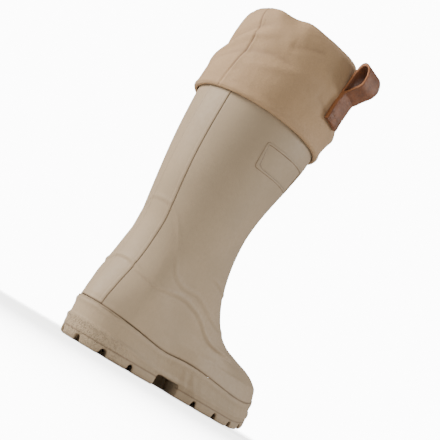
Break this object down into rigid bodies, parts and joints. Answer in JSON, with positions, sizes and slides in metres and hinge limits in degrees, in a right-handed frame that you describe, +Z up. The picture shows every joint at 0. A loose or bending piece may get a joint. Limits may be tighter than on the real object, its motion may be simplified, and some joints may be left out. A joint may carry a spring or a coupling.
{
  "type": "winter boot",
  "caption": "Moulded foam winter boot with a lugged sole, dimpled grip inserts, a raised back strip, a cloth cuff and a leather pull loop.",
  "frame": {"origin": "centre of the heel insert's ground face, where the heel stands on the floor", "axes": "+Z up the leg, +Y towards the toe, +X to the boot's inner side"},
  "size_m": [0.1676, 0.3115, 0.386],
  "materials": {
    "sole_foam": "matt moulded foam",
    "insert_foam": "matt moulded foam",
    "upper_foam": "satin moulded foam",
    "felt": "soft felt",
    "cloth": "tight woven cloth",
    "leather": "brown leather"
  },
  "bodies": {
    "root": {"outsole": "sole_foam", "heel_insert": "insert_foam", "forefoot_insert": "insert_foam", "upper": "upper_foam", "insole": "felt", "cuff": "cloth", "pull_loop": "leather"}
  },
  "joints": []
}
